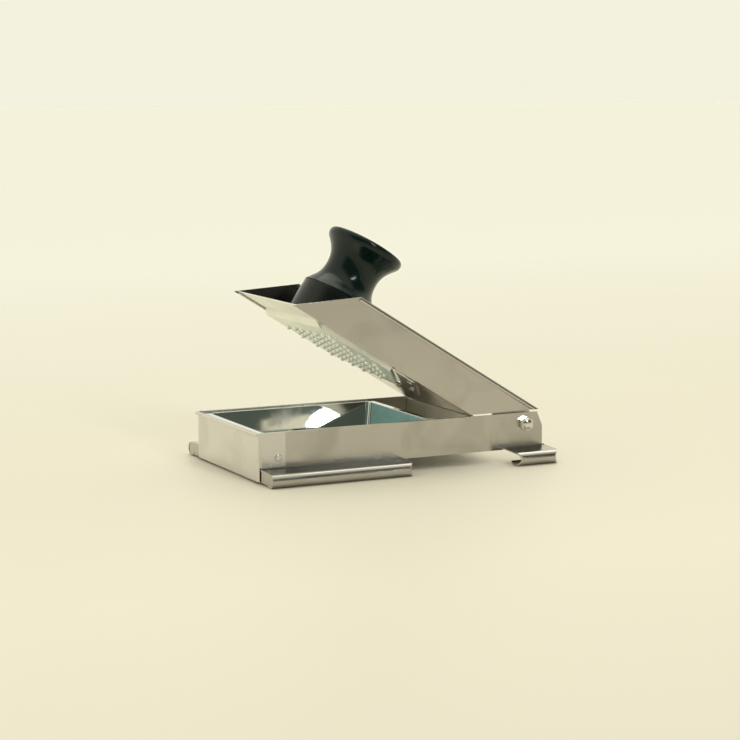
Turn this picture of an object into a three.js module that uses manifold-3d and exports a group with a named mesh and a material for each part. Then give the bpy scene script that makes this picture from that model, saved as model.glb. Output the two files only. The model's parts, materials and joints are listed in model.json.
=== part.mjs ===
// Mandoline slicer of folded sheet steel: a low open frame with a lift-out catch tray, and a sloping
// slicing deck hinged to the frame's rear end, with a grater insert, a V blade and a black plastic
// pusher. Millimetres, +Z up. X runs from the front panel to the hinge, Y from the near side wall to
// the far one, and the origin is on the table under the middle of the frame.
import * as THREE from "three";
import { ConvexGeometry } from "three/addons/geometries/ConvexGeometry.js";
import { mergeGeometries, mergeVertices } from "three/addons/utils/BufferGeometryUtils.js";
import Module from "manifold-3d";

// Frame
const FRAME_LENGTH = 230;
const FRAME_WIDTH = 112;
const FRAME_HEIGHT = 35.8;
const WALL_SHEET = 1;
const WALL_BOTTOM_Z = 9;
const WALL_END_CHAMFER = [4.5, 10.6];
const WALL_HEM = { depth: 5, thickness: 0.8, fromRear: 56.9 };
const WALL_RIM = { depth: 2.4, stand: 0.3 };

// Feet, rolled from the lower edge of each side wall
const FOOT_REACH = 23;
const FOOT_ROLL_RADIUS = 5;
const FOOT_FLAT = 2;
const FOOT_CURL_END_DEG = -150;
const FOOT_CORNER_RADIUS = 7;
const FRONT_FOOT = { fromFront: 1.3, length: 110.7, bendZ: 10 };
const REAR_FOOT = { fromRear: 33, length: 35, bendZ: 10.2 };

// Front panel
const PANEL_SHEET = 0.8;
const PANEL_BEND_RADIUS = 2;
const PANEL_BOTTOM_Z = 1.4;
const PANEL_FLANGE_LENGTH = 20.6;
const PANEL_FLANGE_LIFT = 1.4;
const PANEL_HEM_RADIUS = 1.2;
const PANEL_HEM_OUTSET = 2;
const WELD_RIVET = { fromFront: 15.2, z: 17.6, headRadius: 2.6, headHeight: 0.25, shankRadius: 1.5 };

// Catch tray and the rails it hangs on
const TRAY_FROM_FRONT = 3.2;
const TRAY_FROM_PIVOT = 72.6;
const TRAY_DEPTH = 24.8;
const TRAY_SHEET = 0.8;
const TRAY_LIP = 3.4;
const TRAY_DRAFT_DEG = 10;
const TRAY_LIP_TOP_BELOW_FRAME = 1;
const TRAY_CORNER_RADIUS = 3;
const TRAY_SIDE_PLAY = 0.5;
const RAIL = { leg: 2.4, web: 9, sheet: 0.8, frontInset: 1, rearInset: 18.6 };

// Hinge
const PIVOT_FROM_REAR = 14.7;
const PIVOT_Z = 27.7;
const BOLT = { radius: 2.5, headRadius: 4.5, headHeight: 2.5 };
const NUT = { cornerRadius: 5.5, height: 3.6, domeHeight: 2.2, domeRadius: 4.2 };
const SPACER_RADIUS = 5.5;

// Deck: s runs down the deck, n stands up from its floor
const DECK_SLOPE_DEG = 31.63;
const DECK_LOWER_EDGE = 167.5;
const DECK_WALL_HEIGHT = 30.7;
const DECK_FRONT_RAKE = 43.8;
const DECK_REAR_RAKE = 48.8;
const DECK_SHEET = 1;
const DECK_SIDE_PLAY = 1.5;
const DECK_BEAD_RADIUS = 1.9;
const DECK_LIP = { width: 4.5, thickness: 0.8 };
const DECK_TAIL = 27.5;
const PIVOT_S = 209.9;
const PIVOT_N = 15.75;
const EAR = { sheet: 1.5, radius: 9, reach: 26 };
const REST_BAR = { flange: 12, fromDeckEnd: 4.5, sheet: 1, tab: 14, bottomZ: 10 };

// V throat and blades
const THROAT_APEX_S = 129;
const THROAT_SIDE_S = 95;
const THROAT_GAP = 2.5;
const BLADE = { width: 19, thickness: 0.8, bevel: 2.5, exposed: 9.5 };
const BLADE_RIVET = { fromEdge: 14, inner: 12, fromSide: 9.4, headRadius: 2.2, headHeight: 0.7, radius: 1.2 };

// Grater insert
const INSERT = { sheet: 0.8, front: 3, recessFront: 24, ramp: 6, recessDrop: 3, flangeEnd: 3, corner: 8 };
const TOOTH = { first: 46, rowStep: 6.9, columnStep: 12, columns: 7, radius: 2.3, height: 2.1, hole: 0.8 };
const TOOTH_EDGE_MARGIN = 7;

// Pusher
const KNOB_S = 53.4;
const KNOB_TOP_N = 74.2;
const KNOB_TOP_RADIUS = 29.6;
const KNOB_RIM = 7;
const KNOB_WAIST_RADIUS = 20;
const KNOB_WAIST_BELOW_TOP = 24.6;
const KNOB_RIDGE_RADIUS = 28.3;
const SLEEVE_FLARE = 1.4;
const SLEEVE_TOP_N = 30.4;
const SLEEVE_WALL = 3.3;
const CARRIAGE = { margin: 1.8, thickness: 3, corner: 4, lift: 2.6, sidePlay: 0.5 };
const PLUNGER = { bottomN: 9, play: 0.4 };
const PRONG_PLATE = { inset: 1.2, thickness: 1.3, tipN: 2.8, prongRadius: 0.9 };
const PRONG_RINGS = [{ count: 6, inset: 13.4 }, { count: 10, inset: 4.9 }];
const SCREW = { radius: 1.5, headRadius: 3.2, headHeight: 1.5, length: 14 };
const WASHER = { radius: 4.4, thickness: 0.7 };

// Clearances
const GAP = 0.3;
const HOLE_PLAY = 0.3;

// Worked out from the sizes above
const FRONT_X = -FRAME_LENGTH / 2;
const REAR_X = FRAME_LENGTH / 2;
const WALL_OUTER_Y = FRAME_WIDTH / 2;
const WALL_INNER_Y = WALL_OUTER_Y - WALL_SHEET;
const HEM_INNER_Y = WALL_INNER_Y - WALL_HEM.thickness;
const WALL_FRONT_X = FRONT_X + PANEL_SHEET / 2 + PANEL_BEND_RADIUS;
const FRONT_FOOT_X = FRONT_X + FRONT_FOOT.fromFront;
const REAR_FOOT_X = REAR_X - REAR_FOOT.fromRear;
const PIVOT_X = REAR_X - PIVOT_FROM_REAR;
const TRAY_FRONT_X = FRONT_X + TRAY_FROM_FRONT;
const TRAY_REAR_X = PIVOT_X - TRAY_FROM_PIVOT;
const DECK_OUTER_Y = WALL_INNER_Y - DECK_SIDE_PLAY;
const DECK_INNER_Y = DECK_OUTER_Y - DECK_SHEET;
const EAR_OUTER_Y = DECK_INNER_Y - GAP;
const EAR_INNER_Y = EAR_OUTER_Y - EAR.sheet;
const LIP_INNER_Y = DECK_INNER_Y - DECK_LIP.width;
const RECESS_Y = LIP_INNER_Y - 2 * GAP;
const THROAT_RAKE = (THROAT_APEX_S - THROAT_SIDE_S) / RECESS_Y;
const BLADE_EDGE_S = THROAT_APEX_S + THROAT_GAP;
const LANDING_EDGE_S = BLADE_EDGE_S + BLADE.exposed;
const LANDING_END_S = DECK_LOWER_EDGE + DECK_TAIL;
const PLUNGER_RADIUS = KNOB_RIDGE_RADIUS - SLEEVE_WALL - PLUNGER.play;
const SLOPE = THREE.MathUtils.degToRad(DECK_SLOPE_DEG);

const wasm = await Module();
wasm.setup();

// ---- geometry helpers ----

function toSolid(geometry) {
  const plain = geometry.clone();
  plain.deleteAttribute("normal");
  plain.deleteAttribute("uv");
  const merged = mergeVertices(plain, 1e-4);
  return new wasm.Manifold(new wasm.Mesh({
    numProp: 3,
    vertProperties: new Float32Array(merged.attributes.position.array),
    triVerts: new Uint32Array(merged.index.array),
  }));
}

function toGeometry(solid) {
  const mesh = solid.getMesh();
  const geometry = new THREE.BufferGeometry();
  geometry.setAttribute("position", new THREE.BufferAttribute(new Float32Array(mesh.vertProperties), 3));
  geometry.setIndex(new THREE.BufferAttribute(new Uint32Array(mesh.triVerts), 1));
  geometry.computeVertexNormals();
  return geometry;
}

function join(...geometries) {
  return toGeometry(geometries.map(toSolid).reduce((all, next) => all.add(next)));
}

function cut(geometry, ...tools) {
  return toGeometry(tools.map(toSolid).reduce((all, tool) => all.subtract(tool), toSolid(geometry)));
}

function common(geometry, other) {
  return toGeometry(toSolid(geometry).intersect(toSolid(other)));
}

// The same piece on the other side of the XZ plane.
function mirrored(geometry) {
  const copy = geometry.index ? geometry.toNonIndexed() : geometry.clone();
  const points = copy.attributes.position;
  for (let corner = 0; corner < points.count; corner += 3) {
    const first = new THREE.Vector3().fromBufferAttribute(points, corner);
    const last = new THREE.Vector3().fromBufferAttribute(points, corner + 2);
    points.setXYZ(corner, last.x, last.y, last.z);
    points.setXYZ(corner + 2, first.x, first.y, first.z);
  }
  copy.scale(1, -1, 1);
  return toGeometry(toSolid(copy));
}

function extrude(shape, depth, curveSegments = 6) {
  return new THREE.ExtrudeGeometry(shape, { depth, bevelEnabled: false, curveSegments });
}

// An outline in X and Z, given thickness from y to y + depth.
function extrudeY(shape, y, depth, curveSegments) {
  return extrude(shape, depth, curveSegments).rotateX(Math.PI / 2).translate(0, y + depth, 0);
}

// An outline in Y and Z, given length from x to x + depth.
function extrudeX(shape, x, depth, curveSegments) {
  const axes = new THREE.Matrix4().makeBasis(
    new THREE.Vector3(0, 1, 0), new THREE.Vector3(0, 0, 1), new THREE.Vector3(1, 0, 0));
  return extrude(shape, depth, curveSegments).applyMatrix4(axes).translate(x, 0, 0);
}

// An outline in X and Y, given height from z to z + depth.
function extrudeZ(shape, z, depth, curveSegments) {
  return extrude(shape, depth, curveSegments).translate(0, 0, z);
}

function block(x0, x1, y0, y1, z0, z1) {
  return new THREE.BoxGeometry(x1 - x0, y1 - y0, z1 - z0)
    .translate((x0 + x1) / 2, (y0 + y1) / 2, (z0 + z1) / 2);
}

function outline(...points) {
  return new THREE.Shape(points.map(([x, y]) => new THREE.Vector2(x, y)));
}

function roundedRectangle(x0, x1, y0, y1, radius) {
  const shape = new THREE.Shape();
  shape.moveTo(x0 + radius, y0);
  shape.lineTo(x1 - radius, y0);
  shape.absarc(x1 - radius, y0 + radius, radius, -Math.PI / 2, 0, false);
  shape.lineTo(x1, y1 - radius);
  shape.absarc(x1 - radius, y1 - radius, radius, 0, Math.PI / 2, false);
  shape.lineTo(x0 + radius, y1);
  shape.absarc(x0 + radius, y1 - radius, radius, Math.PI / 2, Math.PI, false);
  shape.lineTo(x0, y0 + radius);
  shape.absarc(x0 + radius, y0 + radius, radius, Math.PI, Math.PI * 1.5, false);
  return shape;
}

// The section of a folded sheet whose middle line follows the path.
function ribbon(path, thickness, divisions = 8) {
  const points = path.getPoints(divisions);
  const oneSide = [];
  const otherSide = [];
  points.forEach((point, index) => {
    const before = points[Math.max(index - 1, 0)];
    const after = points[Math.min(index + 1, points.length - 1)];
    const arrive = index > 0 ? point.clone().sub(before).normalize() : after.clone().sub(point).normalize();
    const leave = index < points.length - 1 ? after.clone().sub(point).normalize() : arrive;
    const along = arrive.clone().add(leave).normalize();
    const reach = thickness / 2 / along.dot(leave);
    oneSide.push(new THREE.Vector2(point.x - along.y * reach, point.y + along.x * reach));
    otherSide.push(new THREE.Vector2(point.x + along.y * reach, point.y - along.x * reach));
  });
  return new THREE.Shape([...oneSide, ...otherSide.reverse()]);
}

// A round piece about an axis along Y: the profile is a list of [radius, y].
function turnedY(profile, x, z, segments = 18) {
  const geometry = new THREE.LatheGeometry(profile.map(([r, y]) => new THREE.Vector2(r, y)), segments);
  return geometry.translate(x, 0, z);
}

// A round piece about an axis along Z: the profile is a list of [radius, z].
function turnedZ(profile, x, y, segments = 18) {
  const geometry = new THREE.LatheGeometry(profile.map(([r, z]) => new THREE.Vector2(r, z)), segments);
  return geometry.rotateX(Math.PI / 2).translate(x, y, 0);
}

function rodY(radius, x, z, y0, y1, segments) {
  return turnedY([[0, y0], [radius, y0], [radius, y1], [0, y1]], x, z, segments);
}

function rodZ(radius, x, y, z0, z1, segments) {
  return turnedZ([[0, z0], [radius, z0], [radius, z1], [0, z1]], x, y, segments);
}

// A flat ring about Y, between two radii.
function ringY(inner, outer, x, z, y0, y1) {
  return turnedY([[inner, y0], [outer, y0], [outer, y1], [inner, y1], [inner, y0]], x, z);
}

// ---- frame ----

// The slope of a foot's flange, from the bend at the wall down to the top of the roll.
function footSlope(bendZ) {
  const toCentre = new THREE.Vector2(
    FOOT_REACH - FOOT_ROLL_RADIUS + WALL_SHEET / 2, FOOT_ROLL_RADIUS - bendZ);
  const drop = toCentre.angle() - 2 * Math.PI;
  return drop + Math.asin((FOOT_ROLL_RADIUS - WALL_SHEET / 2) / toCentre.length());
}

// One foot: the sheet slopes out from the wall and rolls under itself, with a narrow flat below.
function footSection(bendZ) {
  const wallY = WALL_OUTER_Y - WALL_SHEET / 2;
  const rollRadius = FOOT_ROLL_RADIUS - WALL_SHEET / 2;
  const centreY = WALL_OUTER_Y + FOOT_REACH - FOOT_ROLL_RADIUS;
  const path = new THREE.Path();
  path.moveTo(wallY, bendZ + WALL_SHEET);
  path.lineTo(wallY, bendZ);
  path.absarc(centreY, FOOT_ROLL_RADIUS, rollRadius, footSlope(bendZ) + Math.PI / 2, -Math.PI / 2, true);
  path.lineTo(centreY - FOOT_FLAT, FOOT_ROLL_RADIUS - rollRadius);
  path.absarc(centreY - FOOT_FLAT, FOOT_ROLL_RADIUS, rollRadius, -Math.PI / 2,
    THREE.MathUtils.degToRad(FOOT_CURL_END_DEG), true);
  return ribbon(path, WALL_SHEET, 8);
}

function footGeometry(foot, x0, roundFront) {
  const x1 = x0 + foot.length;
  const reachY = WALL_OUTER_Y + FOOT_REACH + GAP;
  const margin = roundFront ? GAP : 2 * FOOT_CORNER_RADIUS;
  const plan = roundedRectangle(x0 - margin, x1, WALL_INNER_Y - 2 * FOOT_CORNER_RADIUS, reachY,
    FOOT_CORNER_RADIUS);
  const strip = extrudeX(footSection(foot.bendZ), x0, foot.length + GAP);
  return common(strip, extrudeZ(plan, -1, FRAME_HEIGHT));
}

// The plate that closes the front foot's front end, inside its roll.
function frontFootEnd() {
  const rollRadius = FOOT_ROLL_RADIUS - WALL_SHEET / 2;
  const centreY = WALL_OUTER_Y + FOOT_REACH - FOOT_ROLL_RADIUS;
  const shape = new THREE.Shape();
  shape.moveTo(WALL_OUTER_Y - WALL_SHEET / 2, PANEL_BOTTOM_Z);
  shape.lineTo(WALL_OUTER_Y - WALL_SHEET / 2, FRONT_FOOT.bendZ);
  shape.absarc(centreY, FOOT_ROLL_RADIUS, rollRadius, footSlope(FRONT_FOOT.bendZ) + Math.PI / 2,
    -Math.PI / 2, true);
  return extrudeX(shape, FRONT_FOOT_X + GAP, WALL_SHEET, 8);
}

function sideWall() {
  const footEndX = FRONT_FOOT_X + FRONT_FOOT.length;
  const [chamferX, chamferZ] = WALL_END_CHAMFER;
  const sheet = extrudeY(outline(
    [WALL_FRONT_X, FRONT_FOOT.bendZ], [footEndX, FRONT_FOOT.bendZ], [footEndX, WALL_BOTTOM_Z],
    [REAR_FOOT_X, WALL_BOTTOM_Z], [REAR_FOOT_X, REAR_FOOT.bendZ], [REAR_X, REAR_FOOT.bendZ],
    [REAR_X, FRAME_HEIGHT - chamferZ], [REAR_X - chamferX, FRAME_HEIGHT], [WALL_FRONT_X, FRAME_HEIGHT],
  ), WALL_INNER_Y, WALL_SHEET);
  const hem = block(WALL_FRONT_X, REAR_X - WALL_HEM.fromRear, HEM_INNER_Y, WALL_INNER_Y + GAP,
    FRAME_HEIGHT - WALL_HEM.depth, FRAME_HEIGHT);
  const rim = block(FRONT_X + PANEL_FLANGE_LENGTH + GAP, REAR_X - chamferX, WALL_OUTER_Y - GAP,
    WALL_OUTER_Y + WALL_RIM.stand, FRAME_HEIGHT - WALL_RIM.depth, FRAME_HEIGHT);
  const pivotHole = rodY(BOLT.radius + HOLE_PLAY, PIVOT_X, PIVOT_Z, HEM_INNER_Y, WALL_OUTER_Y + 1);
  const rivetHole = rodY(WELD_RIVET.shankRadius + HOLE_PLAY, FRONT_X + WELD_RIVET.fromFront, WELD_RIVET.z,
    HEM_INNER_Y, WALL_OUTER_Y + 1, 16);
  const whole = join(sheet, hem, rim, footGeometry(FRONT_FOOT, FRONT_FOOT_X, false),
    footGeometry(REAR_FOOT, REAR_FOOT_X, true), frontFootEnd());
  return cut(whole, pivotHole, rivetHole);
}

function frontPanel() {
  const middleX = FRONT_X + PANEL_SHEET / 2;
  const middleY = WALL_OUTER_Y + GAP + PANEL_SHEET / 2;
  const flangeEndX = FRONT_X + PANEL_FLANGE_LENGTH;
  const corner = PANEL_BEND_RADIUS;
  const path = new THREE.Path();
  path.moveTo(flangeEndX, middleY);
  path.lineTo(middleX + corner, middleY);
  path.absarc(middleX + corner, middleY - corner, corner, Math.PI / 2, Math.PI, false);
  path.lineTo(middleX, -middleY + corner);
  path.absarc(middleX + corner, -middleY + corner, corner, Math.PI, Math.PI * 1.5, false);
  path.lineTo(flangeEndX, -middleY);
  const sheet = extrudeZ(ribbon(path, PANEL_SHEET, 4), PANEL_BOTTOM_Z, FRAME_HEIGHT - PANEL_BOTTOM_Z);
  const hem = rodY(PANEL_HEM_RADIUS, FRONT_X - PANEL_HEM_OUTSET + PANEL_HEM_RADIUS,
    FRAME_HEIGHT - PANEL_HEM_RADIUS, -WALL_OUTER_Y, WALL_OUTER_Y, 16);
  const belowFlange = [-1, 1].map((side) => block(FRONT_X + PANEL_SHEET + GAP / 2, flangeEndX + 1,
    Math.min(side * (WALL_OUTER_Y - 1), side * (middleY + 2)),
    Math.max(side * (WALL_OUTER_Y - 1), side * (middleY + 2)),
    0, FRONT_FOOT.bendZ + PANEL_FLANGE_LIFT));
  const rivetHole = rodY(WELD_RIVET.shankRadius + HOLE_PLAY, FRONT_X + WELD_RIVET.fromFront, WELD_RIVET.z,
    -middleY - 1, middleY + 1, 16);
  return cut(join(sheet, hem), ...belowFlange, rivetHole);
}

function weldRivet() {
  const outer = WALL_OUTER_Y + GAP + PANEL_SHEET + GAP;
  const inner = WALL_INNER_Y - GAP;
  const { headRadius, headHeight, shankRadius } = WELD_RIVET;
  return turnedY([
    [0, inner - headHeight], [headRadius, inner - headHeight], [headRadius, inner], [shankRadius, inner],
    [shankRadius, outer], [headRadius, outer], [headRadius * 0.8, outer + headHeight],
    [0, outer + headHeight],
  ], FRONT_X + WELD_RIVET.fromFront, WELD_RIVET.z);
}

// An angle strip inside each side wall: the tray's lip lies on its upper leg.
function trayRail() {
  const x0 = TRAY_FRONT_X + RAIL.frontInset;
  const length = TRAY_REAR_X - RAIL.rearInset - x0;
  const outerY = HEM_INNER_Y - GAP;
  const topZ = FRAME_HEIGHT - TRAY_LIP_TOP_BELOW_FRAME - TRAY_SHEET - GAP;
  const section = outline(
    [outerY, topZ], [outerY - RAIL.leg, topZ], [outerY - RAIL.leg, topZ - RAIL.sheet],
    [outerY - RAIL.sheet, topZ - RAIL.sheet], [outerY - RAIL.sheet, topZ - RAIL.web],
    [outerY, topZ - RAIL.web]);
  return extrudeX(section, x0, length);
}

// A point of the deck's side view in the frame's X and Z.
function deckPoint(s, n) {
  const alongS = s - PIVOT_S;
  const alongN = n - PIVOT_N;
  return [
    PIVOT_X + alongS * Math.cos(SLOPE) + alongN * Math.sin(SLOPE),
    PIVOT_Z - alongS * Math.sin(SLOPE) + alongN * Math.cos(SLOPE),
  ];
}

// A folded cross bar between the side walls: the deck's floor lies on its sloping flange.
function deckRestBar() {
  const middleN = -GAP - REST_BAR.sheet / 2;
  const start = DECK_LOWER_EDGE + REST_BAR.fromDeckEnd;
  const [topX, topZ] = deckPoint(start, middleN);
  const [endX, endZ] = deckPoint(start + REST_BAR.flange, middleN);
  const path = new THREE.Path();
  path.moveTo(endX, endZ);
  path.lineTo(topX, topZ);
  path.lineTo(topX, REST_BAR.bottomZ);
  const halfWidth = WALL_INNER_Y - GAP;
  const bar = extrudeY(ribbon(path, REST_BAR.sheet), -halfWidth, 2 * halfWidth);
  const tabs = [-1, 1].map((side) => block(topX - REST_BAR.sheet / 2, topX + REST_BAR.tab,
    Math.min(side * halfWidth, side * (halfWidth - REST_BAR.sheet)),
    Math.max(side * halfWidth, side * (halfWidth - REST_BAR.sheet)),
    REST_BAR.bottomZ, endZ - REST_BAR.sheet));
  return join(bar, ...tabs);
}

// ---- hinge hardware, on the frame ----

function pivotBolt() {
  const headY = EAR_INNER_Y - GAP;
  const endY = WALL_OUTER_Y + GAP + NUT.height - GAP;
  return turnedY([
    [0, headY - BOLT.headHeight], [BOLT.headRadius * 0.7, headY - BOLT.headHeight],
    [BOLT.headRadius, headY - BOLT.headHeight * 0.4], [BOLT.headRadius, headY],
    [BOLT.radius, headY], [BOLT.radius, endY], [0, endY],
  ], PIVOT_X, PIVOT_Z);
}

function pivotNut() {
  const y0 = WALL_OUTER_Y + GAP;
  const y1 = y0 + NUT.height;
  const hexagon = turnedY([[0, y0], [NUT.cornerRadius, y0], [NUT.cornerRadius, y1], [0, y1]],
    PIVOT_X, PIVOT_Z, 6);
  const domePath = new THREE.Path();
  domePath.moveTo(0, y0 + GAP);
  domePath.lineTo(NUT.domeRadius, y0 + GAP);
  domePath.lineTo(NUT.domeRadius, y1);
  domePath.absellipse(0, y1, NUT.domeRadius, NUT.domeHeight, 0, Math.PI / 2, false);
  const dome = turnedY(domePath.getPoints(5).map((point) => [Math.max(point.x, 0), point.y]),
    PIVOT_X, PIVOT_Z);
  const bore = rodY(BOLT.radius + HOLE_PLAY, PIVOT_X, PIVOT_Z, y0 - 1, y1);
  return cut(join(hexagon, dome), bore);
}

function pivotSpacer() {
  return ringY(BOLT.radius + HOLE_PLAY, SPACER_RADIUS, PIVOT_X, PIVOT_Z,
    EAR_OUTER_Y + GAP, WALL_INNER_Y - GAP);
}

// ---- catch tray ----

function catchTray() {
  const lipTop = FRAME_HEIGHT - TRAY_LIP_TOP_BELOW_FRAME;
  const lipY = HEM_INNER_Y - TRAY_SIDE_PLAY;
  const ring = (inset, radius) => roundedRectangle(
    TRAY_FRONT_X + inset, TRAY_REAR_X - inset, -lipY + inset, lipY - inset, radius);
  const taper = Math.tan(THREE.MathUtils.degToRad(TRAY_DRAFT_DEG));
  const ringAt = (inset, radius, z) => ring(inset + (lipTop - z) * taper, radius).getPoints(5)
    .map((point) => new THREE.Vector3(point.x, point.y, z));
  const bottom = lipTop - TRAY_DEPTH;
  const floorTop = bottom + TRAY_SHEET;
  const lip = extrudeZ(ring(0, TRAY_CORNER_RADIUS), lipTop - TRAY_SHEET, TRAY_SHEET);
  const shell = new ConvexGeometry([
    ...ringAt(TRAY_LIP, TRAY_CORNER_RADIUS + TRAY_SHEET, lipTop),
    ...ringAt(TRAY_LIP, TRAY_CORNER_RADIUS + TRAY_SHEET, bottom)]);
  const inside = new ConvexGeometry([
    ...ringAt(TRAY_LIP + TRAY_SHEET, TRAY_CORNER_RADIUS, lipTop + TRAY_SHEET),
    ...ringAt(TRAY_LIP + TRAY_SHEET, TRAY_CORNER_RADIUS, floorTop)]);
  return cut(join(lip, shell), inside);
}

// ---- deck: in these functions X is s and Z is n ----

function deckWall() {
  const topFront = DECK_FRONT_RAKE;
  const topRear = DECK_LOWER_EDGE + DECK_REAR_RAKE;
  const sheet = extrudeY(outline(
    [0, 0], [DECK_LOWER_EDGE, 0], [topRear, DECK_WALL_HEIGHT], [topFront, DECK_WALL_HEIGHT],
  ), DECK_INNER_Y, DECK_SHEET);
  const beadY = DECK_OUTER_Y - DECK_BEAD_RADIUS + DECK_SIDE_PLAY - 2 * GAP;
  const beadN = DECK_WALL_HEIGHT - DECK_BEAD_RADIUS;
  const bead = new THREE.CylinderGeometry(DECK_BEAD_RADIUS, DECK_BEAD_RADIUS, topRear - topFront, 16)
    .rotateZ(Math.PI / 2).translate((topRear + topFront) / 2, beadY, beadN);
  const beadEnds = extrudeY(outline(
    [0, 0], [DECK_LOWER_EDGE, 0], [topRear, DECK_WALL_HEIGHT], [topFront, DECK_WALL_HEIGHT],
  ), DECK_INNER_Y - 2 * DECK_BEAD_RADIUS, 4 * DECK_BEAD_RADIUS);
  const lip = block(INSERT.front, DECK_LOWER_EDGE - DECK_SHEET, LIP_INNER_Y, DECK_INNER_Y + GAP,
    0, DECK_LIP.thickness);
  return join(sheet, common(bead, beadEnds), lip);
}

// The floor behind the throat, with the V cut into its front edge and a tail between the ears.
function landingPlate() {
  const edgeAt = (y) => LANDING_EDGE_S - THROAT_RAKE * y;
  const side = DECK_INNER_Y + GAP;
  const tail = EAR_INNER_Y - GAP;
  return extrudeZ(outline(
    [LANDING_EDGE_S, 0], [edgeAt(RECESS_Y), -RECESS_Y], [edgeAt(RECESS_Y), -side],
    [DECK_LOWER_EDGE - DECK_SHEET, -side], [DECK_LOWER_EDGE, -tail], [LANDING_END_S, -tail],
    [LANDING_END_S, tail], [DECK_LOWER_EDGE, tail], [DECK_LOWER_EDGE - DECK_SHEET, side],
    [edgeAt(RECESS_Y), side], [edgeAt(RECESS_Y), RECESS_Y],
  ), 0, DECK_SHEET);
}

function bladeRivetPlaces() {
  return [BLADE_RIVET.inner, RECESS_Y - BLADE_RIVET.fromSide].map((y) => [
    BLADE_EDGE_S + BLADE_RIVET.fromEdge - THROAT_RAKE * y, y]);
}

function deckChannel() {
  const wall = deckWall();
  const holes = bladeRivetPlaces().flatMap(([s, y]) => [-1, 1].map((side) => rodZ(
    BLADE_RIVET.radius + HOLE_PLAY, s, side * y, -1, DECK_SHEET + 1, 12)));
  return cut(join(wall, mirrored(wall), landingPlate()), ...holes);
}

function hingeEar() {
  const shape = new THREE.Shape();
  const backS = PIVOT_S - EAR.reach;
  const topN = DECK_WALL_HEIGHT - 2 * DECK_BEAD_RADIUS - GAP;
  shape.moveTo(backS, PIVOT_N - EAR.radius);
  shape.lineTo(PIVOT_S, PIVOT_N - EAR.radius);
  shape.absarc(PIVOT_S, PIVOT_N, EAR.radius, -Math.PI / 2, Math.PI * 0.3, false);
  shape.lineTo(PIVOT_S, topN);
  shape.lineTo(backS + EAR.radius, topN);
  shape.lineTo(backS, PIVOT_N);
  const plate = extrudeY(shape, EAR_INNER_Y, EAR.sheet);
  return cut(plate, rodY(BOLT.radius + HOLE_PLAY, PIVOT_S, PIVOT_N, EAR_INNER_Y - 1, EAR_OUTER_Y + 1));
}

// One half of the V: a flat strip under the floor's front edge, ground to an edge.
function vBlade() {
  const top = -GAP;
  const bottom = top - BLADE.thickness;
  const innerY = GAP;
  const outerY = RECESS_Y;
  const strip = (edge, back, z0, z1) => extrudeZ(outline(
    [edge - THROAT_RAKE * innerY, innerY], [back - THROAT_RAKE * innerY, innerY],
    [back - THROAT_RAKE * outerY, outerY], [edge - THROAT_RAKE * outerY, outerY]), z0, z1 - z0);
  const whole = strip(BLADE_EDGE_S, BLADE_EDGE_S + BLADE.width, bottom, top);
  const bevelSection = outline([BLADE_EDGE_S - 1, bottom - 1], [BLADE_EDGE_S - 1, top + 1],
    [BLADE_EDGE_S + GAP / 2, top + 1], [BLADE_EDGE_S + GAP / 2, top - 0.1],
    [BLADE_EDGE_S + BLADE.bevel, bottom], [BLADE_EDGE_S + BLADE.bevel, bottom - 1]);
  const grind = extrudeY(bevelSection, -1, outerY + 2).applyMatrix4(
    new THREE.Matrix4().makeShear(0, 0, -THROAT_RAKE, 0, 0, 0));
  const holes = bladeRivetPlaces().map(([s, y]) => rodZ(
    BLADE_RIVET.radius + HOLE_PLAY, s, y, bottom - 1, top + 1, 12));
  return cut(whole, grind, ...holes);
}

function bladeRivet(s, y) {
  const { radius, headRadius, headHeight } = BLADE_RIVET;
  const under = -GAP - BLADE.thickness - GAP;
  const over = DECK_SHEET + GAP;
  return turnedZ([
    [0, under - headHeight], [headRadius, under - headHeight], [headRadius, under], [radius, under],
    [radius, over], [headRadius, over], [headRadius * 0.6, over + headHeight], [0, over + headHeight],
  ], s, y, 16);
}

// ---- grater insert: a pressed sheet whose side flanges ride on the deck's lips ----

function toothPlaces() {
  const places = [];
  for (let row = 0; TOOTH.first + row * TOOTH.rowStep < THROAT_APEX_S; row += 1) {
    const s = TOOTH.first + row * TOOTH.rowStep;
    const shift = row % 2 ? TOOTH.columnStep / 2 : 0;
    for (let column = 0; column < TOOTH.columns; column += 1) {
      const y = (column - (TOOTH.columns - 1) / 2) * TOOTH.columnStep + shift;
      const edge = THROAT_APEX_S - THROAT_RAKE * Math.abs(y);
      if (s < edge - TOOTH_EDGE_MARGIN && Math.abs(y) < RECESS_Y - TOOTH_EDGE_MARGIN) {
        places.push([s, y]);
      }
    }
  }
  return places;
}

// The recess in plan: round front corners and the pointed rear edge.
function recessPlan(inset, rearReach) {
  const radius = INSERT.corner - inset;
  const front = INSERT.recessFront + inset;
  const side = RECESS_Y - inset;
  const shape = new THREE.Shape();
  shape.moveTo(THROAT_APEX_S + rearReach, 0);
  shape.lineTo(THROAT_SIDE_S + rearReach, side);
  shape.lineTo(front + radius, side);
  shape.absarc(front + radius, side - radius, radius, Math.PI / 2, Math.PI, false);
  shape.lineTo(front, -side + radius);
  shape.absarc(front + radius, -side + radius, radius, Math.PI, Math.PI * 1.5, false);
  shape.lineTo(THROAT_SIDE_S + rearReach, -side);
  return shape;
}

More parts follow.
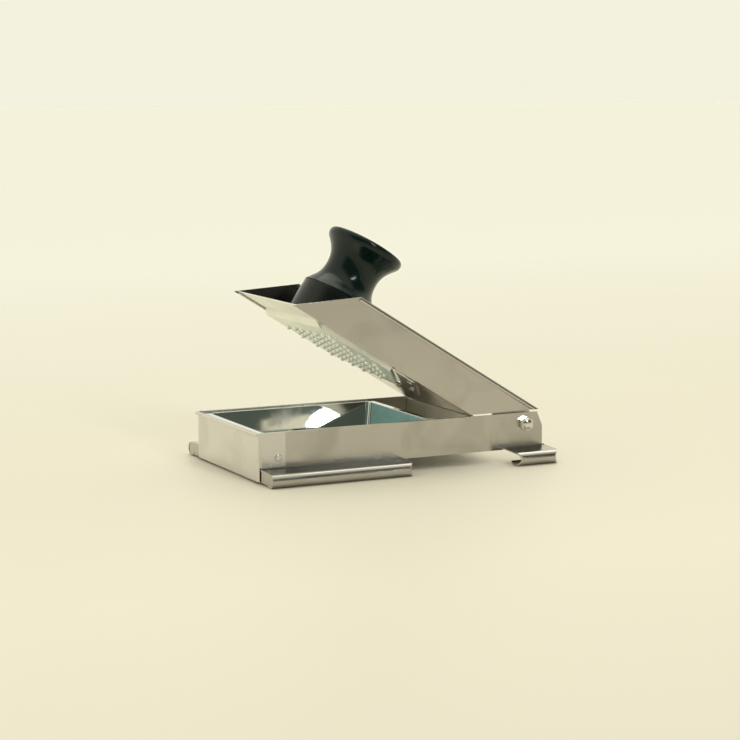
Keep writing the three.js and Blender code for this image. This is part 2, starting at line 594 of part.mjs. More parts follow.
function graterInsert() {
  const flangeBottom = DECK_LIP.thickness + GAP;
  const flangeTop = flangeBottom + INSERT.sheet;
  const plateBottom = -INSERT.recessDrop;
  const plateTop = plateBottom + INSERT.sheet;
  const flangeY = DECK_INNER_Y - 2 * GAP;
  const flange = block(INSERT.front, THROAT_SIDE_S + INSERT.flangeEnd, -flangeY, flangeY,
    flangeBottom, flangeTop);
  const reach = THROAT_GAP * 8;
  const ramp = (front, bottom, top) => extrudeY(outline([front, top], [front + INSERT.ramp, bottom],
    [THROAT_APEX_S + reach, bottom], [THROAT_APEX_S + reach, top]), -flangeY, 2 * flangeY);
  const bowl = common(extrudeZ(recessPlan(0, 0), plateBottom, flangeTop - plateBottom),
    ramp(INSERT.recessFront, plateBottom, flangeTop));
  const inside = common(extrudeZ(recessPlan(INSERT.sheet, reach), plateTop, flangeTop),
    ramp(INSERT.recessFront + INSERT.sheet, plateTop, flangeTop + INSERT.sheet));
  const places = toothPlaces();
  const teeth = places.map(([s, y]) => turnedZ([
    [0, plateBottom - TOOTH.height], [TOOTH.hole * 1.1, plateBottom - TOOTH.height],
    [TOOTH.radius, plateBottom + GAP], [0, plateBottom + GAP]], s, y, 6));
  const holes = places.map(([s, y]) => rodZ(TOOTH.hole, s, y, plateBottom - TOOTH.height - 1, 1, 6));
  return cut(join(cut(join(flange, bowl), inside), mergeGeometries(teeth)), mergeGeometries(holes));
}

// ---- pusher ----

function slideCarriage() {
  const bottom = CARRIAGE.lift;
  const plateTop = bottom + CARRIAGE.thickness;
  const halfWidth = DECK_INNER_Y - CARRIAGE.sidePlay;
  const bore = KNOB_RIDGE_RADIUS - SLEEVE_WALL;
  const halfLength = KNOB_RIDGE_RADIUS + SLEEVE_FLARE + CARRIAGE.margin;
  const plate = extrudeZ(roundedRectangle(KNOB_S - halfLength, KNOB_S + halfLength,
    -halfWidth, halfWidth, CARRIAGE.corner), bottom, CARRIAGE.thickness);
  const sleeve = turnedZ([
    [0, bottom], [KNOB_RIDGE_RADIUS + SLEEVE_FLARE, bottom], [KNOB_RIDGE_RADIUS + SLEEVE_FLARE, plateTop],
    [KNOB_RIDGE_RADIUS, SLEEVE_TOP_N], [0, SLEEVE_TOP_N]], KNOB_S, 0, 36);
  return cut(join(plate, sleeve), rodZ(bore, KNOB_S, 0, bottom - 1, SLEEVE_TOP_N + 1, 36));
}

function knobProfile() {
  const waistN = KNOB_TOP_N - KNOB_WAIST_BELOW_TOP;
  const ridgeN = SLEEVE_TOP_N + GAP;
  const rimN = KNOB_TOP_N - KNOB_RIM;
  const path = new THREE.Path();
  path.moveTo(KNOB_RIDGE_RADIUS, ridgeN);
  path.bezierCurveTo(KNOB_RIDGE_RADIUS - 3.5, ridgeN + 6, KNOB_WAIST_RADIUS, waistN - 11,
    KNOB_WAIST_RADIUS, waistN);
  path.bezierCurveTo(KNOB_WAIST_RADIUS, waistN + 9, KNOB_TOP_RADIUS - 5, rimN - 4,
    KNOB_TOP_RADIUS - 1.6, rimN);
  path.bezierCurveTo(KNOB_TOP_RADIUS + 0.6, rimN + 2.6, KNOB_TOP_RADIUS, KNOB_TOP_N - 0.6,
    KNOB_TOP_RADIUS - 2, KNOB_TOP_N - 0.3);
  return path.getPoints(7).map((point) => [point.x, point.y]);
}

function pusherKnob() {
  const ridgeN = SLEEVE_TOP_N + GAP;
  const body = turnedZ([[0, PLUNGER.bottomN], [PLUNGER_RADIUS, PLUNGER.bottomN], [PLUNGER_RADIUS, ridgeN],
    ...knobProfile(), [0, KNOB_TOP_N]], KNOB_S, 0, 36);
  const screwTop = PLUNGER.bottomN + SCREW.length;
  return cut(body, rodZ(SCREW.radius + HOLE_PLAY, KNOB_S, 0, PLUNGER.bottomN - 1, screwTop, 16));
}

function prongPlate() {
  const top = PLUNGER.bottomN - GAP;
  const bottom = top - PRONG_PLATE.thickness;
  const plateRadius = PLUNGER_RADIUS - PRONG_PLATE.inset;
  const disc = rodZ(plateRadius, KNOB_S, 0, bottom, top, 32);
  const prongs = PRONG_RINGS.flatMap(({ count, inset }) => Array.from({ length: count }, (_, index) => {
    const radius = plateRadius - inset;
    const turn = (index / count) * 2 * Math.PI;
    return turnedZ([[0, PRONG_PLATE.tipN], [0.15, PRONG_PLATE.tipN],
      [PRONG_PLATE.prongRadius, bottom + GAP], [0, bottom + GAP]],
    KNOB_S + radius * Math.cos(turn), radius * Math.sin(turn), 8);
  }));
  const hole = rodZ(SCREW.radius + HOLE_PLAY, KNOB_S, 0, 0, PLUNGER.bottomN, 16);
  return cut(join(disc, mergeGeometries(prongs)), hole);
}

function washerTopN() {
  return PLUNGER.bottomN - GAP - PRONG_PLATE.thickness - GAP;
}

function knobWasher() {
  const top = washerTopN();
  const bottom = top - WASHER.thickness;
  const inner = SCREW.radius + HOLE_PLAY;
  return turnedZ([[inner, bottom], [WASHER.radius, bottom], [WASHER.radius, top], [inner, top],
    [inner, bottom]], KNOB_S, 0);
}

function knobScrew() {
  const headTop = washerTopN() - WASHER.thickness - GAP;
  const headBottom = headTop - SCREW.headHeight;
  const end = PLUNGER.bottomN + SCREW.length - GAP;
  return turnedZ([
    [0, headBottom], [SCREW.headRadius * 0.7, headBottom], [SCREW.headRadius, headTop - SCREW.headHeight / 2],
    [SCREW.headRadius, headTop], [SCREW.radius, headTop], [SCREW.radius, end], [0, end]], KNOB_S, 0);
}

// ---- materials and assembly ----

function material(color, roughness, metalness) {
  return () => new THREE.MeshStandardMaterial({ color, roughness, metalness });
}

const frameSteel = material(0xaca48e, 0.3, 1);
const traySteel = material(0x9fb0aa, 0.12, 1);
const insertSteel = material(0xc8cfc2, 0.35, 1);
const bladeSteel = material(0xd8dcd8, 0.18, 1);
const boltSteel = material(0xe2dfd2, 0.15, 1);
const blackPlastic = material(0x101412, 0.12, 0);

function addPiece(group, name, geometry, newMaterial) {
  const mesh = new THREE.Mesh(geometry, newMaterial());
  mesh.name = name;
  group.add(mesh);
}

function addPair(group, name, geometry, newMaterial) {
  addPiece(group, `${name}_near`, mirrored(geometry), newMaterial);
  addPiece(group, `${name}_far`, geometry, newMaterial);
}

const group = new THREE.Group();

addPair(group, "side_wall", sideWall(), frameSteel);
addPiece(group, "front_panel", frontPanel(), frameSteel);
addPair(group, "front_rivet", weldRivet(), frameSteel);
addPair(group, "tray_rail", trayRail(), frameSteel);
addPiece(group, "deck_rest_bar", deckRestBar(), frameSteel);
addPair(group, "pivot_bolt", pivotBolt(), boltSteel);
addPair(group, "pivot_nut", pivotNut(), boltSteel);
addPair(group, "pivot_spacer", pivotSpacer(), boltSteel);
addPiece(group, "catch_tray", catchTray(), traySteel);

const hinge = new THREE.Group();
hinge.position.set(PIVOT_X, 0, PIVOT_Z);
hinge.rotation.y = SLOPE;
group.add(hinge);
const deck = new THREE.Group();
deck.position.set(-PIVOT_S, 0, -PIVOT_N);
hinge.add(deck);

addPiece(deck, "deck_channel", deckChannel(), frameSteel);
addPair(deck, "hinge_ear", hingeEar(), frameSteel);
addPair(deck, "v_blade", vBlade(), bladeSteel);
bladeRivetPlaces().forEach(([s, y], index) => {
  addPair(deck, `blade_rivet_${index + 1}`, bladeRivet(s, y), boltSteel);
});
addPiece(deck, "grater_insert", graterInsert(), insertSteel);
addPiece(deck, "slide_carriage", slideCarriage(), blackPlastic);
addPiece(deck, "pusher_knob", pusherKnob(), blackPlastic);
addPiece(deck, "prong_plate", prongPlate(), bladeSteel);
addPiece(deck, "knob_washer", knobWasher(), boltSteel);
addPiece(deck, "knob_screw", knobScrew(), boltSteel);

export default group;
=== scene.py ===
import json
import math

import bmesh
import bpy
from mathutils import Matrix, Vector


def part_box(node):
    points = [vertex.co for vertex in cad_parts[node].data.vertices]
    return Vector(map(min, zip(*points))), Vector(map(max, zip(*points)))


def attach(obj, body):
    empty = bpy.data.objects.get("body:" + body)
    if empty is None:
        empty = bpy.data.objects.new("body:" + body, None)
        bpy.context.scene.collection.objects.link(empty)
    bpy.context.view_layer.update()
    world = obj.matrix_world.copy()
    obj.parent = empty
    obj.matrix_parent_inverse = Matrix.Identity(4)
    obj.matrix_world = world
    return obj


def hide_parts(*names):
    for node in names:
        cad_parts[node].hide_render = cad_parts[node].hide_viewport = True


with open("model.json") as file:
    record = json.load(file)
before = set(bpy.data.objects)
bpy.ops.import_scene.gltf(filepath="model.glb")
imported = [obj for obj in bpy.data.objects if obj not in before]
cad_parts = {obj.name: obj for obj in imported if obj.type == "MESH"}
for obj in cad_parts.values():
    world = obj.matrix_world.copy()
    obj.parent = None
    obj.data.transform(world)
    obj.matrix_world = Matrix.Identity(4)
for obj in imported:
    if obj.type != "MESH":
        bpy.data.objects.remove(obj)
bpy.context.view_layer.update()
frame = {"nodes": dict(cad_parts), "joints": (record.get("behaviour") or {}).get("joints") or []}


# The table and the studio: a seamless matt cream floor in a bright pale room with a dark band low in
# front, lit by a broad soft sun and one high window. Four small cards are there to be mirrored in the
# polished tray. The camera is a long lens, low at the front left.

scene = bpy.context.scene
scene.view_settings.view_transform = "Standard"
scene.view_settings.look = "None"

floor_reach = 14
floor_squares = 24
floor_drop = 0.0001
floor_mesh = bmesh.new()
bmesh.ops.create_grid(floor_mesh, x_segments=floor_squares, y_segments=floor_squares,
                      size=floor_reach)
bmesh.ops.translate(floor_mesh, verts=floor_mesh.verts, vec=(0, 0, -floor_drop))
floor_data = bpy.data.meshes.new("table_floor")
floor_mesh.to_mesh(floor_data)
floor_mesh.free()
floor = bpy.data.objects.new("table_floor", floor_data)
scene.collection.objects.link(floor)

floor_paint = bpy.data.materials.new("cream_table")
floor_paint.use_nodes = True
floor_nodes = floor_paint.node_tree.nodes
floor_links = floor_paint.node_tree.links
floor_shader = floor_nodes["Principled BSDF"]
floor_shader.inputs["Specular IOR Level"].default_value = 0.25
floor_place = floor_nodes.new("ShaderNodeTexCoord")
floor_cloud = floor_nodes.new("ShaderNodeTexNoise")
floor_cloud.inputs["Scale"].default_value = 3.0
floor_cloud.inputs["Detail"].default_value = 3.0
floor_tone = floor_nodes.new("ShaderNodeValToRGB")
floor_tone.color_ramp.elements[0].color = (0.84, 0.795, 0.68, 1)
floor_tone.color_ramp.elements[1].color = (0.87, 0.825, 0.705, 1)
floor_axes = floor_nodes.new("ShaderNodeSeparateXYZ")
floor_far = floor_nodes.new("ShaderNodeMapRange")
floor_far.inputs["From Min"].default_value = 0.15
floor_far.inputs["From Max"].default_value = 1.5
floor_sweep = floor_nodes.new("ShaderNodeMix")
floor_sweep.data_type = "RGBA"
floor_sweep.inputs["B"].default_value = (0.945, 0.94, 0.87, 1)
# The floor's colour is painted darker in front of the object, towards the camera: painted shade, for
# the steel walls to mirror.
floor_near = floor_nodes.new("ShaderNodeMapRange")
floor_near.inputs["From Min"].default_value = -0.35
floor_near.inputs["From Max"].default_value = -1.1
floor_shade = floor_nodes.new("ShaderNodeMix")
floor_shade.data_type = "RGBA"
floor_shade.inputs["B"].default_value = (0.66, 0.625, 0.53, 1)
floor_gloss = floor_nodes.new("ShaderNodeMapRange")
floor_gloss.inputs["To Min"].default_value = 0.42
floor_gloss.inputs["To Max"].default_value = 0.5
floor_links.new(floor_place.outputs["Object"], floor_cloud.inputs["Vector"])
floor_links.new(floor_place.outputs["Object"], floor_axes.inputs["Vector"])
floor_links.new(floor_cloud.outputs["Fac"], floor_tone.inputs["Fac"])
floor_links.new(floor_axes.outputs["Y"], floor_far.inputs["Value"])
floor_links.new(floor_far.outputs["Result"], floor_sweep.inputs["Factor"])
floor_links.new(floor_tone.outputs["Color"], floor_sweep.inputs["A"])
floor_links.new(floor_axes.outputs["Y"], floor_near.inputs["Value"])
floor_links.new(floor_near.outputs["Result"], floor_shade.inputs["Factor"])
floor_links.new(floor_sweep.outputs["Result"], floor_shade.inputs["A"])
floor_links.new(floor_shade.outputs["Result"], floor_shader.inputs["Base Color"])
floor_links.new(floor_cloud.outputs["Fac"], floor_gloss.inputs["Value"])
floor_links.new(floor_gloss.outputs["Result"], floor_shader.inputs["Roughness"])
floor_data.materials.append(floor_paint)

world = bpy.data.worlds.new("studio_room")
scene.world = world
world.use_nodes = True
room_nodes = world.node_tree.nodes
room_links = world.node_tree.links
room_light = room_nodes["Background"]
room_way = room_nodes.new("ShaderNodeTexCoord")
room_axes = room_nodes.new("ShaderNodeSeparateXYZ")
room_front = room_nodes.new("ShaderNodeMapRange")
room_front.interpolation_type = "SMOOTHSTEP"
room_front.inputs["From Min"].default_value = 0.05
room_front.inputs["From Max"].default_value = -0.4
room_above = room_nodes.new("ShaderNodeMapRange")
room_above.interpolation_type = "SMOOTHSTEP"
room_above.inputs["From Min"].default_value = 0.80
room_above.inputs["From Max"].default_value = 0.62
room_low = room_nodes.new("ShaderNodeMapRange")
room_low.interpolation_type = "SMOOTHSTEP"
room_low.inputs["From Min"].default_value = 0.02
room_low.inputs["From Max"].default_value = 0.09
room_band = room_nodes.new("ShaderNodeMath")
room_band.operation = "MULTIPLY"
room_dark = room_nodes.new("ShaderNodeMath")
room_dark.operation = "MULTIPLY"
room_tone = room_nodes.new("ShaderNodeMix")
room_tone.data_type = "RGBA"
room_tone.inputs["A"].default_value = (0.90, 0.885, 0.735, 1)
room_tone.inputs["B"].default_value = (0.085, 0.095, 0.075, 1)
room_links.new(room_way.outputs["Generated"], room_axes.inputs["Vector"])
room_links.new(room_axes.outputs["Y"], room_front.inputs["Value"])
room_links.new(room_axes.outputs["Z"], room_above.inputs["Value"])
room_links.new(room_axes.outputs["Z"], room_low.inputs["Value"])
room_links.new(room_front.outputs["Result"], room_band.inputs[0])
room_links.new(room_above.outputs["Result"], room_band.inputs[1])
room_links.new(room_band.outputs["Value"], room_dark.inputs[0])
room_links.new(room_low.outputs["Result"], room_dark.inputs[1])
room_links.new(room_dark.outputs["Value"], room_tone.inputs["Factor"])
room_links.new(room_tone.outputs["Result"], room_light.inputs["Color"])

sun_width_deg = 50
sun_lean_deg = (-18, 14, 0)
sun_data = bpy.data.lights.new("soft_sun", "SUN")
sun_data.energy = 0.78
sun_data.angle = math.radians(sun_width_deg)
sun_data.color = (1, 0.97, 0.88)
sun = bpy.data.objects.new("soft_sun", sun_data)
sun.rotation_euler = [math.radians(turn) for turn in sun_lean_deg]
scene.collection.objects.link(sun)


def softbox(name, place, target, width, height, watts, color):
    """A flat rectangular lamp at one place, turned to face a target."""
    lamp = bpy.data.lights.new(name, "AREA")
    lamp.shape = "RECTANGLE"
    lamp.size = width
    lamp.size_y = height
    lamp.energy = watts
    lamp.color = color
    lamp_object = bpy.data.objects.new(name, lamp)
    scene.collection.objects.link(lamp_object)
    lamp_object.location = place
    aim = Vector(target) - Vector(place)
    lamp_object.rotation_euler = aim.to_track_quat("-Z", "Y").to_euler()


softbox("low_window", place=(0.806, -1.70, 0.315), target=(-0.015, 0.047, 0.025),
        width=0.028, height=0.026, watts=0.075, color=(0.95, 1, 0.98))
softbox("window_wall", place=(0.742, -1.715, 0.319), target=(-0.04, 0.047, 0.025),
        width=0.083, height=0.036, watts=0.0062, color=(1, 0.86, 0.64))
softbox("window_blind", place=(0.853, -1.68, 0.325), target=(0.01, 0.047, 0.025),
        width=0.058, height=0.050, watts=0.0085, color=(0.45, 1, 0.94))
softbox("high_window", place=(0.40, -2.40, 1.50), target=(-0.03, 0, 0.14),
        width=0.20, height=0.85, watts=12.0, color=(1, 1, 0.98))
softbox("green_blind", place=(-0.77, -1.21, 0.48), target=(0.01, 0.02, 0.03),
        width=0.26, height=0.14, watts=0.028, color=(0.55, 1, 0.93))

camera_dip_deg = 7.928
camera_turn_deg = -26.334
camera_data = bpy.data.cameras.new("long_lens_camera")
camera_data.lens = 105.64
camera_data.sensor_width = 36
camera_data.clip_end = 30
camera = bpy.data.objects.new("long_lens_camera", camera_data)
camera.location = (-0.7069, -1.4281, 0.2885)
camera.rotation_euler = (math.radians(90 - camera_dip_deg), 0, math.radians(camera_turn_deg))
scene.collection.objects.link(camera)
scene.camera = camera


# The two side walls of the frame. Each is one strip of stainless sheet with a hem folded in along its
# top edge and two feet rolled out of its lower edge. The cut edges are deburred, and the sheet is
# bright-rolled, so a fine straight grain runs along its length.

def new_group(name, inputs, outputs):
    group = bpy.data.node_groups.new(name, "ShaderNodeTree")
    for socket_name, socket_type, value in inputs:
        socket = group.interface.new_socket(socket_name, in_out="INPUT", socket_type=socket_type)
        if value is not None:
            socket.default_value = value
    for socket_name, socket_type in outputs:
        group.interface.new_socket(socket_name, in_out="OUTPUT", socket_type=socket_type)
    return group, group.nodes.new("NodeGroupInput"), group.nodes.new("NodeGroupOutput")


def rolled_grain_group():
    """Fine lines left by rolling, as a height and a roughness value."""
    group, given, made = new_group(
        "rolled_grain",
        [("Vector", "NodeSocketVector", None), ("Lines per Metre", "NodeSocketFloat", 5000.0),
         ("Roughness Low", "NodeSocketFloat", 0.15), ("Roughness High", "NodeSocketFloat", 0.3)],
        [("Height", "NodeSocketFloat"), ("Roughness", "NodeSocketFloat")])
    nodes = group.nodes
    links = group.links
    stretch = nodes.new("ShaderNodeVectorMath")
    stretch.operation = "MULTIPLY"
    stretch.inputs[1].default_value = (0.012, 1, 1)
    lines = nodes.new("ShaderNodeTexNoise")
    lines.inputs["Detail"].default_value = 4.0
    lines.inputs["Roughness"].default_value = 0.62
    cloud = nodes.new("ShaderNodeTexNoise")
    cloud.inputs["Scale"].default_value = 38.0
    cloud.inputs["Detail"].default_value = 3.0
    both = nodes.new("ShaderNodeMix")
    both.data_type = "FLOAT"
    both.inputs["Factor"].default_value = 0.45
    spread = nodes.new("ShaderNodeMapRange")
    spread.inputs["From Min"].default_value = 0.3
    spread.inputs["From Max"].default_value = 0.7
    links.new(given.outputs["Vector"], stretch.inputs[0])
    links.new(stretch.outputs["Vector"], lines.inputs["Vector"])
    links.new(given.outputs["Lines per Metre"], lines.inputs["Scale"])
    links.new(given.outputs["Vector"], cloud.inputs["Vector"])
    links.new(lines.outputs["Fac"], both.inputs["A"])
    links.new(cloud.outputs["Fac"], both.inputs["B"])
    links.new(both.outputs["Result"], spread.inputs["Value"])
    links.new(given.outputs["Roughness Low"], spread.inputs["To Min"])
    links.new(given.outputs["Roughness High"], spread.inputs["To Max"])
    links.new(spread.outputs["Result"], made.inputs["Roughness"])
    links.new(lines.outputs["Fac"], made.inputs["Height"])
    return group


def handling_group():
    """Where hands and washing have left smears and hairline scratches, as masks."""
    group, given, made = new_group(
        "handling_marks",
        [("Vector", "NodeSocketVector", None)],
        [("Smears", "NodeSocketFloat"), ("Scratches", "NodeSocketFloat")])
    nodes = group.nodes
    links = group.links
    smear = nodes.new("ShaderNodeTexNoise")
    smear.inputs["Scale"].default_value = 26.0
    smear.inputs["Detail"].default_value = 5.0
    smear.inputs["Distortion"].default_value = 0.8
    smear_edge = nodes.new("ShaderNodeMapRange")
    smear_edge.inputs["From Min"].default_value = 0.48
    smear_edge.inputs["From Max"].default_value = 0.68
    turned = nodes.new("ShaderNodeMapping")
    turned.inputs["Rotation"].default_value = (0.4, 0.7, 0.5)
    turned.inputs["Scale"].default_value = (14, 900, 900)
    hair = nodes.new("ShaderNodeTexNoise")
    hair.inputs["Scale"].default_value = 1.0
    hair.inputs["Detail"].default_value = 1.0
    hair_edge = nodes.new("ShaderNodeMapRange")
    hair_edge.inputs["From Min"].default_value = 0.7
    hair_edge.inputs["From Max"].default_value = 0.78
    links.new(given.outputs["Vector"], smear.inputs["Vector"])
    links.new(smear.outputs["Fac"], smear_edge.inputs["Value"])
    links.new(smear_edge.outputs["Result"], made.inputs["Smears"])
    links.new(given.outputs["Vector"], turned.inputs["Vector"])
    links.new(turned.outputs["Vector"], hair.inputs["Vector"])
    links.new(hair.outputs["Fac"], hair_edge.inputs["Value"])
    links.new(hair_edge.outputs["Result"], made.inputs["Scratches"])
    return group


rolled_grain = rolled_grain_group()
handling_marks = handling_group()


def sheet_steel(name, clean, marked, roughness, lines=5200.0, grain_depth=0.12, tilt=0.0,
                brushed=0.0):
    """Stainless sheet: grain lines along X after the tilt, faint smears and hairline scratches."""
    steel = bpy.data.materials.new(name)
    steel.use_nodes = True
    nodes = steel.node_tree.nodes
    links = steel.node_tree.links
    shader = nodes["Principled BSDF"]
    shader.inputs["Metallic"].default_value = 1.0
    shader.inputs["Anisotropic"].default_value = brushed
    shader.inputs["Anisotropic Rotation"].default_value = 0.25
    place = nodes.new("ShaderNodeTexCoord")
    around = nodes.new("ShaderNodeTangent")
    around.direction_type = "RADIAL"
    around.axis = "Z"
    links.new(around.outputs["Tangent"], shader.inputs["Tangent"])
    along = nodes.new("ShaderNodeMapping")
    along.inputs["Rotation"].default_value = (0, tilt, 0)
    grain = nodes.new("ShaderNodeGroup")
    grain.node_tree = rolled_grain
    grain.inputs["Lines per Metre"].default_value = lines
    grain.inputs["Roughness Low"].default_value = roughness[0]
    grain.inputs["Roughness High"].default_value = roughness[1]
    marks = nodes.new("ShaderNodeGroup")
    marks.node_tree = handling_marks
    colour = nodes.new("ShaderNodeMix")
    colour.data_type = "RGBA"
    colour.inputs["A"].default_value = (*clean, 1)
    colour.inputs["B"].default_value = (*marked, 1)
    rougher = nodes.new("ShaderNodeMath")
    rougher.operation = "MULTIPLY_ADD"
    rougher.inputs[1].default_value = 0.07
    bump = nodes.new("ShaderNodeBump")
    bump.inputs["Strength"].default_value = grain_depth
    bump.inputs["Distance"].default_value = 0.00004
    scored = nodes.new("ShaderNodeMath")
    scored.operation = "MULTIPLY_ADD"
    scored.inputs[1].default_value = -0.5
    links.new(place.outputs["Object"], along.inputs["Vector"])
    links.new(along.outputs["Vector"], grain.inputs["Vector"])
    links.new(along.outputs["Vector"], marks.inputs["Vector"])
    links.new(marks.outputs["Smears"], colour.inputs["Factor"])
    links.new(colour.outputs["Result"], shader.inputs["Base Color"])
    links.new(marks.outputs["Smears"], rougher.inputs[0])
    links.new(grain.outputs["Roughness"], rougher.inputs[2])
    links.new(rougher.outputs["Value"], shader.inputs["Roughness"])
    links.new(marks.outputs["Scratches"], scored.inputs[0])
    links.new(grain.outputs["Height"], scored.inputs[2])
    links.new(scored.outputs["Value"], bump.inputs["Height"])
    links.new(bump.outputs["Normal"], shader.inputs["Normal"])
    return steel


def place_piece(name, mesh_data, materials, body, slot, *nodes):
    """Puts a finished mesh in the scene on its body, in place of the CAD nodes it stands for."""
    mesh_data.materials.clear()
    for material in materials:
        mesh_data.materials.append(material)
    piece = bpy.data.objects.new(name, mesh_data)
    scene.collection.objects.link(piece)
    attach(piece, body)
    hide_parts(*nodes)
    return piece


def deburred(name, node, body, slot, material, edge=0.00018, smooth_deg=32, inside=None,
             inside_y=0.0):
    """The node's own shape with its doubled points merged, flat faces whole and edges rounded off.

    Faces nearer the middle than inside_y take the inside material, where one is given: a lighter copy
    of the steel, painted light on the shaded inner faces.
    """
    merge_distance = 0.000004
    flat_angle = math.radians(1.0)
    shape = bmesh.new()
    shape.from_mesh(frame["nodes"][node].data)
    bmesh.ops.remove_doubles(shape, verts=shape.verts, dist=merge_distance)
    bmesh.ops.dissolve_limit(shape, angle_limit=flat_angle, verts=shape.verts, edges=shape.edges)
    for face in shape.faces:
        face.smooth = True
        if inside and abs(face.calc_center_median().y) < inside_y:
            face.material_index = 1
    data = bpy.data.meshes.new(name)
    shape.to_mesh(data)
    shape.free()
    data.set_sharp_from_angle(angle=math.radians(smooth_deg))
    piece = place_piece(name, data, [material, inside] if inside else [material], body, slot, node)
    rounding = piece.modifiers.new("rounded_edges", "BEVEL")
    rounding.width = edge
    rounding.segments = 2
    rounding.limit_method = "ANGLE"
    rounding.angle_limit = math.radians(smooth_deg)
    flat_faces = piece.modifiers.new("flat_faces", "WEIGHTED_NORMAL")
    flat_faces.weight = 90
    flat_faces.keep_sharp = True
    return piece


frame_steel = sheet_steel("frame_steel", (0.51, 0.487, 0.45), (0.465, 0.442, 0.405), (0.13, 0.22),
                          brushed=0.6)
# The inner faces take a much lighter copy of the same sheet steel: painted light, lifting the shade
# inside the frame and the deck.
painted_light_inner_steel = sheet_steel("painted_light_inner_steel", (0.93, 0.88, 0.80), (0.86, 0.81, 0.73), (0.30, 0.44))
wall_inner_margin = 0.0022
wall_inner_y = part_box("side_wall_far")[0].y + wall_inner_margin
for side in ("near", "far"):
    deburred(f"wall_{side}", f"side_wall_{side}", "frame", "frame_steel", frame_steel,
             edge=0.0003, inside=painted_light_inner_steel, inside_y=wall_inner_y)


# The front panel and its two flush rivets. The panel is a thinner stainless sheet bent into a U round
# the front of the side walls, its top edge rolled to a bead. One rivet through each flange holds it.

panel_steel = sheet_steel("panel_steel", (0.71, 0.69, 0.655), (0.65, 0.63, 0.595), (0.20, 0.29),
                          brushed=0.75)
deburred("panel_front", "front_panel", "frame", "frame_steel", panel_steel, edge=0.00025)
for side in ("near", "far"):
    deburred(f"panel_rivet_{side}", f"front_rivet_{side}", "frame", "frame_steel", panel_steel,
             edge=0.0001, smooth_deg=25)


# The strips inside the frame: an angle rail on each side wall that the tray's lip lies on, and the
# folded bar across the frame that the deck's floor rests on. All three are spot-welded in place.

# The rails and the bar take the lighter inner copy of the steel, as painted light over the shade
# inside the frame.
for side in ("near", "far"):
    deburred(f"rail_{side}", f"tray_rail_{side}", "frame", "frame_steel", painted_light_inner_steel)
deburred("rest_bar", "deck_rest_bar", "frame", "frame_steel", painted_light_inner_steel)


# The hinge hardware: a pan-head bolt through each ear and side wall, a spacer ring between the two,
# and a domed hexagon nut outside. All of it is turned steel with a bright plated finish.

plated_steel = sheet_steel("plated_steel", (0.78, 0.76, 0.70), (0.69, 0.67, 0.61), (0.12, 0.20),
                           lines=9000.0, grain_depth=0.05)
for side in ("near", "far"):
    deburred(f"bolt_{side}", f"pivot_bolt_{side}", "frame", "bolt_steel", plated_steel, smooth_deg=30)
    deburred(f"nut_{side}", f"pivot_nut_{side}", "frame", "bolt_steel", plated_steel, smooth_deg=30)
    deburred(f"spacer_{side}", f"pivot_spacer_{side}", "frame", "bolt_steel", plated_steel)


# The catch tray: one drawn box of polished stainless sheet with tapered walls, and a flat lip all
# round that hangs on the rails. Nothing fixes it, so it lifts out to be emptied.

# Its colour is tinted teal and made brighter than steel: a painted reflection of the bright greenish
# light the tray mirrors.
tray_steel = sheet_steel("tray_steel", (0.80, 0.85, 0.82), (0.72, 0.77, 0.74), (0.012, 0.045),
                         lines=3000.0, grain_depth=0.015)
deburred("tray", "catch_tray", "tray", "tray_steel", tray_steel, edge=0.0003)


# The deck: a channel folded from one stainless sheet, with a bead rolled along the top of each wall,
# lips turned in below, and the landing floor behind the V. Ears welded inside its walls take the
# hinge bolts.

joints = {joint["name"]: joint for joint in frame["joints"]}
slide_axis = Vector(joints["carriage_slide"]["axis"])
deck_slope = math.atan2(-slide_axis.z, slide_axis.x)
deck_steel = sheet_steel("deck_steel", (0.52, 0.497, 0.46), (0.475, 0.452, 0.415), (0.10, 0.19),
                         tilt=-deck_slope)
deck_inner_margin = 0.0015
deck_inner_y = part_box("deck_channel")[1].y - deck_inner_margin
# The channel's inner faces and the ears take the lighter inner copy of the steel, as painted light
# over the shade inside the deck.
deburred("channel", "deck_channel", "deck", "frame_steel", deck_steel, edge=0.00035,
         inside=painted_light_inner_steel, inside_y=deck_inner_y)
for side in ("near", "far"):
    deburred(f"ear_{side}", f"hinge_ear_{side}", "deck", "frame_steel", painted_light_inner_steel)


# The V blade: two strips of hardened steel, each ground to an edge along the V and held under the
# front of the floor by two small rivets.

blade_steel = sheet_steel("blade_steel", (0.72, 0.73, 0.71), (0.64, 0.65, 0.63), (0.08, 0.18),
                          lines=7000.0, tilt=-deck_slope)
for side in ("near", "far"):
    deburred(f"blade_{side}", f"v_blade_{side}", "deck", "blade_steel", blade_steel, edge=0.00003)
    for number in (1, 2):
        deburred(f"rivet_{number}_{side}", f"blade_rivet_{number}_{side}", "deck", "bolt_steel",
                 plated_steel, edge=0.00012)


# The grater insert: a thin sheet of satin steel, its colour painted pale as painted light for the
# bright reflection under it, pressed into a shallow recess, with rows of pierced teeth standing out
# of its underside. Its side flanges slide on the deck's lips.

# The satin roughness is the sheet's own; the very pale colour is painted light for the bright
# reflection on its underside.
insert_steel = sheet_steel("insert_steel", (0.90, 0.92, 0.86), (0.83, 0.85, 0.79), (0.40, 0.52),
                           lines=6000.0, tilt=-deck_slope)
deburred("insert", "grater_insert", "insert", "insert_steel", insert_steel,
         edge=0.00012, smooth_deg=40)


# The carriage: one black plastic moulding, a flat slide with a tall collar. It runs between the
# deck's walls and guides the pusher down the deck.

